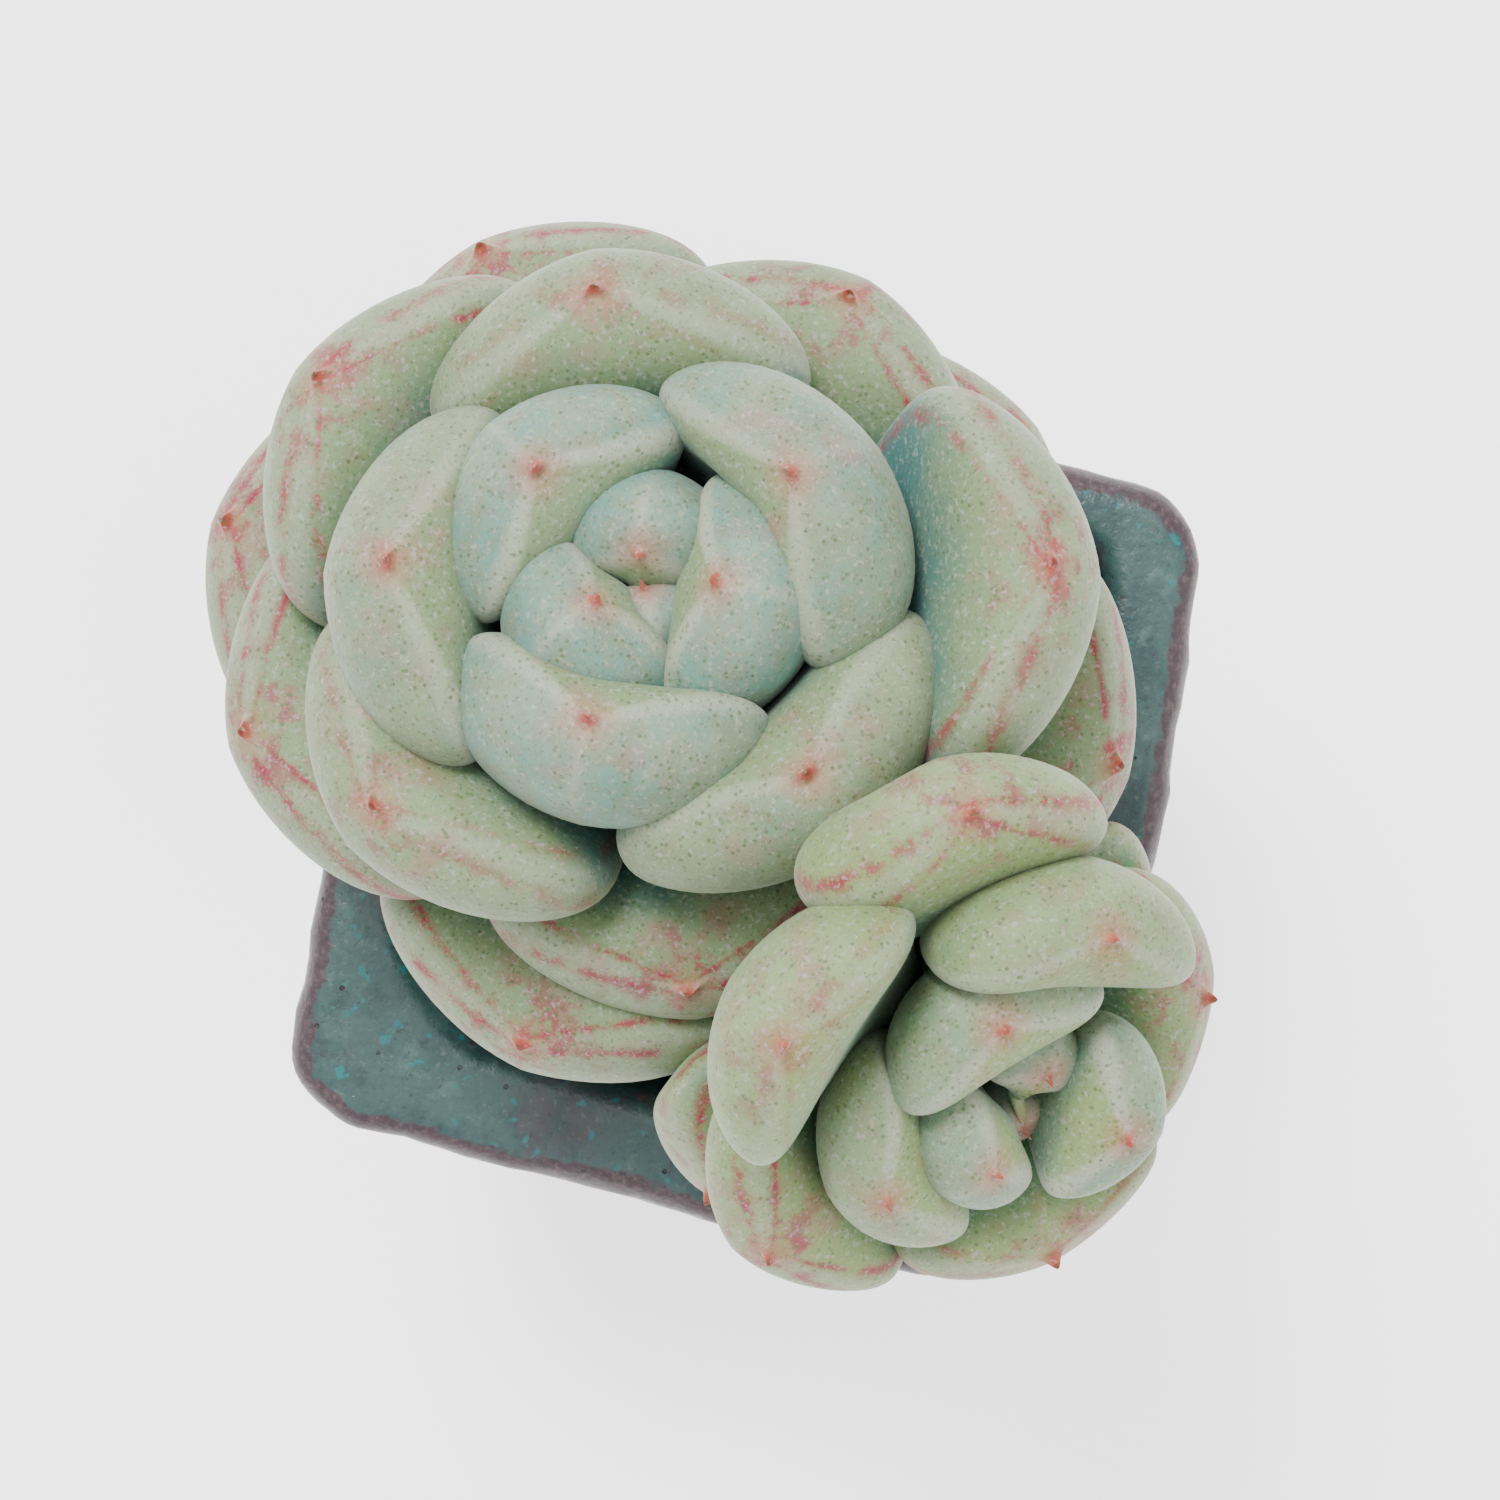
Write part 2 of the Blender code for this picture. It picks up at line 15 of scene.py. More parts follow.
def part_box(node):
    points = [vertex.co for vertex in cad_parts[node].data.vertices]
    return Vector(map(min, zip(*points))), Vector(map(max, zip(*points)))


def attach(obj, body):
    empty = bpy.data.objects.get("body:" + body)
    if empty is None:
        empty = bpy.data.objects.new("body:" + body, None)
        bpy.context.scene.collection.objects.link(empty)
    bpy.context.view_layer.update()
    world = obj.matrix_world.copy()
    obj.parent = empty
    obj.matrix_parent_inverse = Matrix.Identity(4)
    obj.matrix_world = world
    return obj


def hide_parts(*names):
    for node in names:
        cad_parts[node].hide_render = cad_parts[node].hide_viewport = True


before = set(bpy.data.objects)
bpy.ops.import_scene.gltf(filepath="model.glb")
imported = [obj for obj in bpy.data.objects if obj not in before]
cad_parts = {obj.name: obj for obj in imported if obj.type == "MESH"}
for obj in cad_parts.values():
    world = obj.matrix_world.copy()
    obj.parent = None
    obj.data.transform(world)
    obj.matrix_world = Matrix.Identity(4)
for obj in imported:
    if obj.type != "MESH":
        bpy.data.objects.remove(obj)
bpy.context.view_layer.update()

# ---- Camera, floor and light -----------------------------------------------------------------------------
# A camera looks straight down on the plant, which stands on a white table lit from under. A soft white sky
# fills the shadows, and a large lamp with a weaker one across from it models the leaves.

CAMERA_PLACE = (-0.00094, 0.00552, 0.372)
CAMERA_TURN = math.radians(11.7)
FOCAL_LENGTH = 70.56  # in millimetres, as the sensor's width is
SENSOR_WIDTH = 36
NEAREST_SEEN = 0.01
FLOOR_HALF = 1.5
FLOOR_COLOUR = (250, 250, 250)
FLOOR_GLOW = 1.3
SKY_LIGHT = 1.35
WHITE = (1, 1, 1, 1)

camera = bpy.data.objects.new("camera", bpy.data.cameras.new("camera"))
camera.location = CAMERA_PLACE
camera.rotation_euler = (0, 0, CAMERA_TURN)
camera.data.lens = FOCAL_LENGTH
camera.data.sensor_width = SENSOR_WIDTH
camera.data.clip_start = NEAREST_SEEN
bpy.context.scene.collection.objects.link(camera)
bpy.context.scene.camera = camera


def linear(red, green, blue):
    """A screen colour of 0 to 255 as the linear red, green, blue and alpha that shaders take."""
    shares = [part / 255 for part in (red, green, blue)]
    return (*[part / 12.92 if part <= 0.04045 else ((part + 0.055) / 1.055) ** 2.4 for part in shares], 1)


def mesh_object(name, points, faces, material):
    mesh = bpy.data.meshes.new(name)
    mesh.from_pydata([tuple(point) for point in points], [], [tuple(face) for face in faces])
    mesh.materials.append(material)
    mesh.shade_smooth()
    made = bpy.data.objects.new(name, mesh)
    bpy.context.scene.collection.objects.link(made)
    return made


floor_paint = bpy.data.materials.new("floor")
floor_paint.use_nodes = True
floor_shader = floor_paint.node_tree.nodes["Principled BSDF"]
floor_shader.inputs["Base Color"].default_value = linear(*FLOOR_COLOUR)
floor_shader.inputs["Roughness"].default_value = 0.9
floor_shader.inputs["Emission Color"].default_value = WHITE
floor_shader.inputs["Emission Strength"].default_value = FLOOR_GLOW
floor_corners = [(x * FLOOR_HALF, y * FLOOR_HALF, 0) for x, y in ((-1, -1), (1, -1), (1, 1), (-1, 1))]
floor = mesh_object("floor", floor_corners, [(0, 1, 2, 3)], floor_paint)

world = bpy.data.worlds.new("studio sky")
world.use_nodes = True
world.node_tree.nodes["Background"].inputs["Color"].default_value = WHITE
world.node_tree.nodes["Background"].inputs["Strength"].default_value = SKY_LIGHT
bpy.context.scene.world = world


def lamp(name, place, size, power):
    """A square lamp that faces the middle of the floor."""
    light = bpy.data.lights.new(name, "AREA")
    light.size = size
    light.energy = power
    made = bpy.data.objects.new(name, light)
    made.location = place
    made.rotation_euler = (-Vector(place)).to_track_quat("-Z", "Y").to_euler()
    bpy.context.scene.collection.objects.link(made)


lamp("key lamp", place=(-0.35, 0.45, 0.9), size=0.35, power=15)
lamp("fill lamp", place=(0.7, -0.4, 0.7), size=0.6, power=4)

# ---- The pot ---------------------------------------------------------------------------------------------
# Stoneware, built by hand from slabs and dipped in a mottled teal glaze that breaks to a purple brown where
# it runs thin, at the edges. Its square is a little askew and its rim wavers. Four drain holes go through the
# floor.

MM = 0.001

POT_SIDE = 85 * MM
POT_HEIGHT = 72 * MM
BASE_SIDE = 68 * MM
BASE_EDGE = 2.5 * MM
BASE_CORNER = 9 * MM
RIM_WIDTH = 9.5 * MM
RIM_ROUND = 3 * MM
RIM_CORNERS = (8 * MM, 8 * MM, 8 * MM, 18 * MM)  # anticlockwise from +X +Y
WALL = 6 * MM
POT_FLOOR = 7 * MM
SKEW = 0.048  # hand-built: two opposite corners stand out and two are drawn in
DRAIN_RADIUS = 2.5 * MM
DRAIN_PLACE = 17 * MM
SHARP_EDGE = math.radians(50)
OPENING_CORNERS = (5 * MM, 9 * MM, 15 * MM, 9 * MM)
OPENING_SHIFT = (-0.5 * MM, 2.4 * MM)  # the rim is thinner at the back

CORNER_STEPS = 10
SIDE_STEPS = 26
WALL_STEPS = 44
ROUND_STEPS = 8
RIM_STEPS = 5

WAVER = 0.9 * MM  # of the walls, in and out
WALL_WAVES = ((45, 1, (0, 0, 0)), (130, 0.6, (3, 1, 2)), (320, 0.3, (0, 0, 0)))  # to a metre, share, shift
STEADY_FOOT = 4 * MM  # the height up to which the walls waver less
PITTING = 0.1 * MM
PITS_PER_METRE = 700
RIM_WAVER = 0.5 * MM  # of the rim, up and down
RIM_WAVES = ((38, 1, (5, 5, 5)),)

FOOT_WEAR = 0.8  # how thin the glaze runs there, from 0 to 1
WALL_WEAR = 0.15  # just over the foot, less on each level up
WALL_WEAR_LEVELS = 3
RIM_WEAR = 0.9  # along the middle of the rim's outer rounding
LEAST_RIM_WEAR = 0.1
OPENING_WEAR = 0.45
LITTLE_WEAR = 0.2
CORNER_WEAR = 0.55  # down the upright edges, where there is little wear otherwise
CORNER_FROM = 0.72  # of half the pot's side, out both ways
CORNER_FADE = 0.2


def square_level(half, corners, height, centre=(0, 0)):
    """One level of the pot: a skewed square with four corner radii, anticlockwise from +X +Y."""
    arcs = []
    for quarter, radius in enumerate(corners):
        middle = math.pi / 4 + quarter * math.pi / 2
        at_x = math.copysign(half - radius, math.cos(middle))
        at_y = math.copysign(half - radius, math.sin(middle))
        arc = []
        for step in range(CORNER_STEPS + 1):
            angle = (quarter + step / CORNER_STEPS) * math.pi / 2
            x = centre[0] + at_x + radius * math.cos(angle)
            y = centre[1] + at_y + radius * math.sin(angle)
            arc.append(Vector((x - SKEW * y, y - SKEW * x, height)))
        arcs.append(arc)
    points = []
    for arc, following in zip(arcs, arcs[1:] + arcs[:1]):
        points += arc
        points += [arc[-1].lerp(following[0], step / SIDE_STEPS) for step in range(1, SIDE_STEPS)]
    return points


def inside_level(height, inset=0.0):
    """The pot's inner wall at a height: from the opening at the rim down to the narrower floor."""
    share = (height - POT_FLOOR) / (POT_HEIGHT - POT_FLOOR)
    half = (1 - share) * (BASE_SIDE / 2 - WALL) + share * (POT_SIDE / 2 - RIM_WIDTH)
    corners = [radius - inset for radius in OPENING_CORNERS]
    return square_level(half - inset, corners, height, (share * OPENING_SHIFT[0], share * OPENING_SHIFT[1]))


def between(first, last, steps):
    """Levels from the first to the last, both left out."""
    shares = [step / steps for step in range(1, steps)]
    return [[start.lerp(end, share) for start, end in zip(first, last)] for share in shares]


def loft(levels):
    """(points, faces) of a solid through levels of equal point counts, its first and last levels capped."""
    count = len(levels[0])
    faces = [tuple(reversed(range(count)))]
    for first in range(0, count * (len(levels) - 1), count):
        for index in range(count):
            after = (index + 1) % count
            faces.append((first + index, first + after, first + count + after, first + count + index))
    faces.append(tuple(range(count * (len(levels) - 1), count * len(levels))))
    return [point for level in levels for point in level], faces


def rippled(point, waves):
    """Smooth noise of about -1 to 1 at a point: the sum of several sizes of wave."""
    return sum(share * noise.noise(point * number + Vector(shift)) for number, share, shift in waves)


def pot_shape():
    """(points, faces, wear) of the pot, wear being how thin the glaze runs at each point."""
    foot = square_level(BASE_SIDE / 2, [BASE_CORNER] * 4, BASE_EDGE)
    shoulder = square_level(POT_SIDE / 2, RIM_CORNERS, POT_HEIGHT - RIM_ROUND)
    levels = []
    worn = []
    for step in range(ROUND_STEPS):
        angle = step / ROUND_STEPS * math.pi / 2
        inset = BASE_EDGE * (1 - math.sin(angle))
        height = BASE_EDGE * (1 - math.cos(angle))
        levels.append(square_level(BASE_SIDE / 2 - inset, [BASE_CORNER - inset] * 4, height))
        worn.append(FOOT_WEAR)
    levels += [foot, *between(foot, shoulder, WALL_STEPS)]
    worn += [WALL_WEAR * math.exp(-step / WALL_WEAR_LEVELS) for step in range(WALL_STEPS)]
    for step in range(ROUND_STEPS + 1):
        angle = step / ROUND_STEPS * math.pi / 2
        inset = RIM_ROUND * (1 - math.cos(angle))
        height = POT_HEIGHT - RIM_ROUND * (1 - math.sin(angle))
        levels.append(square_level(POT_SIDE / 2 - inset, [radius - inset for radius in RIM_CORNERS], height))
        worn.append(math.sin(2 * angle) * RIM_WEAR + LEAST_RIM_WEAR)
    opening = []
    for step in range(ROUND_STEPS + 1):
        angle = step / ROUND_STEPS * math.pi / 2
        inset = RIM_ROUND * (1 - math.sin(angle))
        height = POT_HEIGHT - RIM_ROUND * (1 - math.cos(angle))
        widened = inside_level(POT_HEIGHT, -inset)
        opening.append([Vector((point.x, point.y, height)) for point in widened])
    top = between(levels[-1], opening[0], RIM_STEPS)
    levels += top + opening
    worn += [0.0] * len(top)
    worn += [OPENING_WEAR * math.sin(step / ROUND_STEPS * math.pi) for step in range(ROUND_STEPS + 1)]
    floor_level = inside_level(POT_FLOOR)
    inner = between(opening[-1], floor_level, WALL_STEPS)
    levels += [*inner, floor_level]
    worn += [0.0] * (len(inner) + 1)
    points, faces = loft(levels)
    moved = []
    wear = []
    for index, point in enumerate(points):
        flat = Vector((point.x, point.y, 0))
        rise = (point.z / POT_HEIGHT) ** 2
        wave = rippled(point, WALL_WAVES) * WAVER * min(1, point.z / STEADY_FOOT)
        pit = noise.noise(point * PITS_PER_METRE) * PITTING * rise
        lift = rippled(flat, RIM_WAVES) * RIM_WAVER * rise
        moved.append(point + flat.normalized() * (wave + pit) + Vector((0, 0, lift)))
        thin = worn[index // len(levels[0])]
        if thin < LITTLE_WEAR and point.z < POT_HEIGHT - MM:
            corner = min(abs(point.x), abs(point.y)) / (POT_SIDE / 2)
            thin = max(thin, CORNER_WEAR * max(0, corner - CORNER_FROM) / CORNER_FADE)
        wear.append(thin)
    return moved, faces, wear


STUDIO_SHARE = 0.4  # of a screen colour, as paint: the studio's light brings it back up
RICHNESS = 1.85  # of painted colours, since the light pales them
COLOUR_MIX = ("Factor_Float", "A_Color", "B_Color")  # the Mix node's inputs, when it mixes colours


def pigment(red, green, blue):
    """The colour to paint a thing so that it looks like this screen colour in the studio's light."""
    parts = linear(red, green, blue)[:3]
    grey = sum(parts) / 3
    return (*[max(0, grey + (part - grey) * RICHNESS) * STUDIO_SHARE for part in parts], 1)


class Field:
    """A value that varies over a mesh or a material: one output socket of a node tree.

    A formula of Fields adds its Math nodes to that tree.
    """

    def __init__(self, tree, socket):
        self.tree = tree
        self.socket = socket

    def apply(self, operation, *others):
        node = self.tree.nodes.new("ShaderNodeMath")
        node.operation = operation
        for place, value in enumerate((self, *others)):
            if isinstance(value, Field):
                self.tree.links.new(value.socket, node.inputs[place])
            else:
                node.inputs[place].default_value = value
        return Field(self.tree, node.outputs[0])

    def fixed(self, value):
        """A constant, as a Field of the same tree."""
        node = self.tree.nodes.new("ShaderNodeValue")
        node.outputs[0].default_value = value
        return Field(self.tree, node.outputs[0])

    def __add__(self, other):
        return self.apply("ADD", other)

    def __sub__(self, other):
        return self.apply("SUBTRACT", other)

    def __mul__(self, other):
        return self.apply("MULTIPLY", other)

    def __truediv__(self, other):
        return self.apply("DIVIDE", other)

    def __pow__(self, other):
        return self.apply("POWER", other)

    def __rsub__(self, other):
        return self.fixed(other) - self

    __radd__ = __add__

    def above(self, other):
        return self.apply("MAXIMUM", other)

    def size(self):
        return self.apply("ABSOLUTE")

    def sin(self):
        return self.apply("SINE")

    def cos(self):
        return self.apply("COSINE")

    def root(self):
        return self.above(0).apply("SQRT")

    def bell(self, middle, width):
        """1 where the field is at the middle, falling smoothly to 0 within two widths."""
        off = (self - middle) / width
        return (off * off * -1).apply("EXPONENT")

    def step(self, start, end):
        """0 up to the start and 1 from the end, and smooth between them."""
        node = self.tree.nodes.new("ShaderNodeMapRange")
        node.interpolation_type = "SMOOTHSTEP"
        self.tree.links.new(self.socket, node.inputs["Value"])
        node.inputs["From Min"].default_value = min(start, end)
        node.inputs["From Max"].default_value = max(start, end)
        node.inputs["To Min"].default_value = 0 if start < end else 1
        node.inputs["To Max"].default_value = 1 if start < end else 0
        return Field(self.tree, node.outputs["Result"])


class Paint:
    """A material whose colour, gloss and bumps are formulas of textures and of the mesh's own values."""

    def __init__(self, name, colour):
        self.material = bpy.data.materials.new(name)
        self.material.use_nodes = True
        self.tree = self.material.node_tree
        self.shader = self.tree.nodes["Principled BSDF"]
        self.place = self.tree.nodes.new("ShaderNodeTexCoord").outputs["Object"]
        rgb = self.tree.nodes.new("ShaderNodeRGB")
        rgb.outputs[0].default_value = pigment(*colour)
        self.colour = rgb.outputs[0]

    def value(self, name):
        """A value that the mesh holds at each point."""
        node = self.tree.nodes.new("ShaderNodeAttribute")
        node.attribute_name = name
        return Field(self.tree, node.outputs["Fac"])

    def noise(self, grain, detail=3, roughness=0.55, seed=0):
        """Cloudy noise of 0 to 1 about 0.5. The grain is the size of its lumps, in metres."""
        node = self.tree.nodes.new("ShaderNodeTexNoise")
        node.noise_dimensions = "4D"
        node.inputs["W"].default_value = seed
        node.inputs["Scale"].default_value = 1 / grain
        node.inputs["Detail"].default_value = detail
        node.inputs["Roughness"].default_value = roughness
        self.tree.links.new(self.place, node.inputs["Vector"])
        return Field(self.tree, node.outputs["Fac"])

    def dots(self, apart):
        """The distance to the nearest of many scattered points, in shares of their spacing."""
        node = self.tree.nodes.new("ShaderNodeTexVoronoi")
        node.inputs["Scale"].default_value = 1 / apart
        self.tree.links.new(self.place, node.inputs["Vector"])
        return Field(self.tree, node.outputs["Distance"])

    def coat(self, colour, share):
        """Lays a colour over what is there, as thickly as the share says."""
        node = self.tree.nodes.new("ShaderNodeMix")
        node.data_type = "RGBA"
        node.clamp_factor = True
        factor, below, above = [socket for socket in node.inputs if socket.identifier in COLOUR_MIX]
        self.tree.links.new(share.socket, factor)
        self.tree.links.new(self.colour, below)
        above.default_value = pigment(*colour)
        self.colour = next(socket for socket in node.outputs if socket.type == "RGBA")

    def done(self, roughness, height, bump, **settings):
        """The finished material. The height is in metres, and the bump is the share of it that shows."""
        self.tree.links.new(self.colour, self.shader.inputs["Base Color"])
        if isinstance(roughness, Field):
            self.tree.links.new(roughness.socket, self.shader.inputs["Roughness"])
        else:
            self.shader.inputs["Roughness"].default_value = roughness
        node = self.tree.nodes.new("ShaderNodeBump")
        node.inputs["Strength"].default_value = bump
        node.inputs["Distance"].default_value = 1
        self.tree.links.new(height.socket, node.inputs["Height"])
        self.tree.links.new(node.outputs["Normal"], self.shader.inputs["Normal"])
        for name, value in settings.items():
            self.shader.inputs[name.replace("_", " ")].default_value = value
        return self.material


TEAL = (88, 108, 107)
DEEP_TEAL = (62, 82, 84)
PALE_TEAL = (112, 133, 130)
MAUVE = (98, 84, 90)
TURQUOISE = (78, 140, 142)
PALE_FLECK = (148, 158, 156)
DARK_FLECK = (50, 54, 58)
THIN_BROWN = (86, 68, 74)
THIN_DARK = (56, 44, 48)
THIN_GREY = (128, 118, 116)
PINHOLE = (26, 24, 26)


def glaze():
    paint = Paint("glaze", TEAL)
    wear = paint.value("wear")
    cloud = paint.noise(9 * MM, 5, 0.6)
    patch = paint.noise(3.2 * MM, 4, 0.65, seed=3)
    fine = paint.noise(0.7 * MM, 3, 0.6, seed=7)
    paint.coat(DEEP_TEAL, cloud.step(0.54, 0.4))
    paint.coat(PALE_TEAL, (cloud * 0.5 + patch * 0.5).step(0.52, 0.62))
    paint.coat(MAUVE, paint.noise(14 * MM, 4, 0.6, seed=17).step(0.54, 0.66) * 0.55)
    paint.coat(TURQUOISE, paint.noise(2.0 * MM, 3, 0.5, seed=11).step(0.6, 0.68) * 0.8)
    paint.coat(PALE_FLECK, fine.step(0.58, 0.72) * 0.4)
    paint.coat(DARK_FLECK, fine.step(0.44, 0.3) * 0.6)
    thin = (wear * 1.1 + (patch - 0.5) * 2.2 + (cloud - 0.5) * 1.2).step(0.42, 0.8)
    paint.coat(THIN_BROWN, thin * 0.92)
    paint.coat(THIN_DARK, thin * fine.step(0.44, 0.62) * 0.75)
    paint.coat(THIN_GREY, thin * fine.step(0.46, 0.34) * 0.5)
    pinhole = paint.dots(2.4 * MM).step(0.13, 0.07) * paint.noise(6 * MM, 1, seed=4).step(0.5, 0.62)
    paint.coat(PINHOLE, pinhole)
    height = cloud * (0.5 * MM) + patch * (0.25 * MM) + fine * (0.08 * MM) - pinhole * (0.3 * MM)
    roughness = 0.34 + thin * 0.2 + pinhole * 0.3
    return paint.done(roughness, height, 0.8, Coat_Weight=0.2, Coat_Roughness=0.15)


def drain_cutter(x, y):
    """A rod through the floor, in the quarter of the pot that x and y say."""
    shape = bmesh.new()
    size = DRAIN_RADIUS
    bmesh.ops.create_cone(shape, cap_ends=True, segments=32, radius1=size, radius2=size, depth=4 * POT_FLOOR)
    mesh = bpy.data.meshes.new("drain")
    bmesh.ops.translate(shape, vec=(x * DRAIN_PLACE, y * DRAIN_PLACE, 0), verts=shape.verts)
    shape.to_mesh(mesh)
    shape.free()
    made = bpy.data.objects.new("drain", mesh)
    bpy.context.scene.collection.objects.link(made)
    return made


def evaluated_copy(made, material=None):
    """Puts the object's shape with its modifiers done, as a plain mesh, in their place."""
    graph = bpy.context.evaluated_depsgraph_get()
    mesh = bpy.data.meshes.new_from_object(made.evaluated_get(graph), depsgraph=graph)
    made.modifiers.clear()
    made.data = mesh
    if material:
        mesh.materials.clear()
        mesh.materials.append(material)
    mesh.shade_smooth()


pot_points, pot_faces, pot_wear = pot_shape()
pot = mesh_object("glazed_pot", pot_points, pot_faces, glaze())
pot.data.attributes.new("wear", "FLOAT", "POINT").data.foreach_set("value", pot_wear)
cutters = [drain_cutter(x, y) for x, y in ((1, 1), (-1, 1), (-1, -1), (1, -1))]
for cutter in cutters:
    hole = pot.modifiers.new("drain", "BOOLEAN")
    hole.object = cutter
evaluated_copy(pot)
pot.data.set_sharp_from_angle(angle=SHARP_EDGE)
for cutter in cutters:
    bpy.data.objects.remove(cutter)
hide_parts("pot")
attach(pot, "root")

# ---- The soil --------------------------------------------------------------------------------------------
# Dark gritty potting mix, loosely pressed round the stems: a crumbly mound with loose grains over it.

SOIL_BELOW_RIM = 12 * MM
SOIL_MOUND = 2 * MM
SOIL_GAP = 0.3 * MM  # between the soil and the pot
SOIL_STEPS = 12
MOUND_RINGS = 24
CRUMBLE = 1.1 * MM
LUMP_WAVES = ((260, 1, (0, 0, 0)), (700, 0.5, (0, 0, 0)))
GRAIN_SIZE = 0.9 * MM
LEAST_GRAIN = (0.25, 0.25, 0.2)  # of that size, each way
MOST_GRAIN = (1.1, 0.9, 0.7)
GRAINS_PER_AREA = 240000
LEVEL_ENOUGH = 0.6  # how far up a face looks, for grains to lie on it

EARTH = (38, 33, 30)
WET_EARTH = (18, 16, 15)
BARK_CHIP = (82, 74, 66)


def soil_shape():
    """(points, faces) of the mound, which fills the pot up to a little below its rim."""
    surface = POT_HEIGHT - SOIL_BELOW_RIM
    foot = inside_level(POT_FLOOR + SOIL_GAP, SOIL_GAP)
    edge = inside_level(surface, SOIL_GAP)
    centre = sum(edge, Vector()) / len(edge)
    levels = [foot, *between(foot, edge, SOIL_STEPS)]
    for ring in range(MOUND_RINGS):
        share = ring / MOUND_RINGS
        height = surface + SOIL_MOUND * math.sin(min(1, share * 1.5) * math.pi / 2)
        level = [point.lerp(centre, share) for point in edge]
        levels.append([Vector((point.x, point.y, height)) for point in level])
    points, faces = loft(levels)
    for point in points:
        if point.z > surface + 0.1 * MM:
            point.z += rippled(point, LUMP_WAVES) * CRUMBLE
    return points, faces


def grit_tree(material):
    """Scatters grains over the upward faces of the mesh it gets."""
    tree = bpy.data.node_groups.new("loose grit", "GeometryNodeTree")
    tree.interface.new_socket("Geometry", in_out="INPUT", socket_type="NodeSocketGeometry")
    tree.interface.new_socket("Density", in_out="INPUT", socket_type="NodeSocketFloat")
    tree.interface.new_socket("Grain", in_out="INPUT", socket_type="NodeSocketFloat")
    tree.interface.new_socket("Geometry", in_out="OUTPUT", socket_type="NodeSocketGeometry")
    source = tree.nodes.new("NodeGroupInput")
    result = tree.nodes.new("NodeGroupOutput")
    normal = tree.nodes.new("GeometryNodeInputNormal")
    split = tree.nodes.new("ShaderNodeSeparateXYZ")
    tree.links.new(normal.outputs[0], split.inputs[0])
    upward = Field(tree, split.outputs["Z"]).apply("GREATER_THAN", LEVEL_ENOUGH)
    scatter = tree.nodes.new("GeometryNodeDistributePointsOnFaces")
    scatter.inputs["Seed"].default_value = 7
    tree.links.new(source.outputs["Geometry"], scatter.inputs["Mesh"])
    tree.links.new(upward.socket, scatter.inputs["Selection"])
    tree.links.new(source.outputs["Density"], scatter.inputs["Density"])
    grain = tree.nodes.new("GeometryNodeMeshIcoSphere")
    grain.inputs["Subdivisions"].default_value = 1
    tree.links.new(source.outputs["Grain"], grain.inputs["Radius"])
    place = tree.nodes.new("GeometryNodeInstanceOnPoints")
    tree.links.new(scatter.outputs["Points"], place.inputs["Points"])
    tree.links.new(grain.outputs["Mesh"], place.inputs["Instance"])
    for name, low, high, seed in (
        ("Rotation", (0, 0, 0), (6.28, 6.28, 6.28), 1),
        ("Scale", LEAST_GRAIN, MOST_GRAIN, 2),
    ):
        chance = tree.nodes.new("FunctionNodeRandomValue")
        chance.data_type = "FLOAT_VECTOR"
        chance.inputs["Min"].default_value = low
        chance.inputs["Max"].default_value = high
        chance.inputs["Seed"].default_value = seed
        tree.links.new(chance.outputs["Value"], place.inputs[name])
    join = tree.nodes.new("GeometryNodeJoinGeometry")
    real = tree.nodes.new("GeometryNodeRealizeInstances")
    painted = tree.nodes.new("GeometryNodeSetMaterial")
    painted.inputs["Material"].default_value = material
    tree.links.new(source.outputs["Geometry"], join.inputs[0])
    tree.links.new(place.outputs["Instances"], join.inputs[0])
    tree.links.new(join.outputs[0], real.inputs[0])
    tree.links.new(real.outputs[0], painted.inputs["Geometry"])
    tree.links.new(painted.outputs["Geometry"], result.inputs[0])
    return tree


def earth():
    paint = Paint("earth", EARTH)
    lumps = paint.noise(1.6 * MM, 4, 0.6)
    paint.coat(WET_EARTH, lumps.step(0.52, 0.4))
    paint.coat(BARK_CHIP, paint.noise(0.9 * MM, 2, seed=5).step(0.62, 0.72) * 0.7)
    return paint.done(0.95, lumps * (0.8 * MM), 0.8)


def set_inputs(modifier, **values):
    """Sets a Geometry Nodes modifier's inputs by their names."""
    for item in modifier.node_group.interface.items_tree:
        if item.in_out == "INPUT" and item.name in values:
            modifier[item.identifier] = values[item.name]


soil_skin = earth()
soil = mesh_object("potting_soil", *soil_shape(), soil_skin)
grit = soil.modifiers.new("grit", "NODES")
grit.node_group = grit_tree(soil_skin)
set_inputs(grit, Density=GRAINS_PER_AREA, Grain=GRAIN_SIZE)
evaluated_copy(soil, soil_skin)
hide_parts("soil")
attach(soil, "root")

# ---- The leaves' rule ------------------------------------------------------------------------------------
# Each leaf is a fleshy spoon: a hollowed upper face, a thick keeled back and a small point where the margins
# meet. Leaves follow each other round the stem by the golden angle, young ones upright and old ones spread.

GOLDEN_ANGLE = math.radians(137.508)
STEM_TOP = 0.8 * MM  # the stem's radius at its top; further down it is more, by the taper
STEM_TAPER = 0.15
TOUCH_GAP = 0.3 * MM  # between two pieces that touch

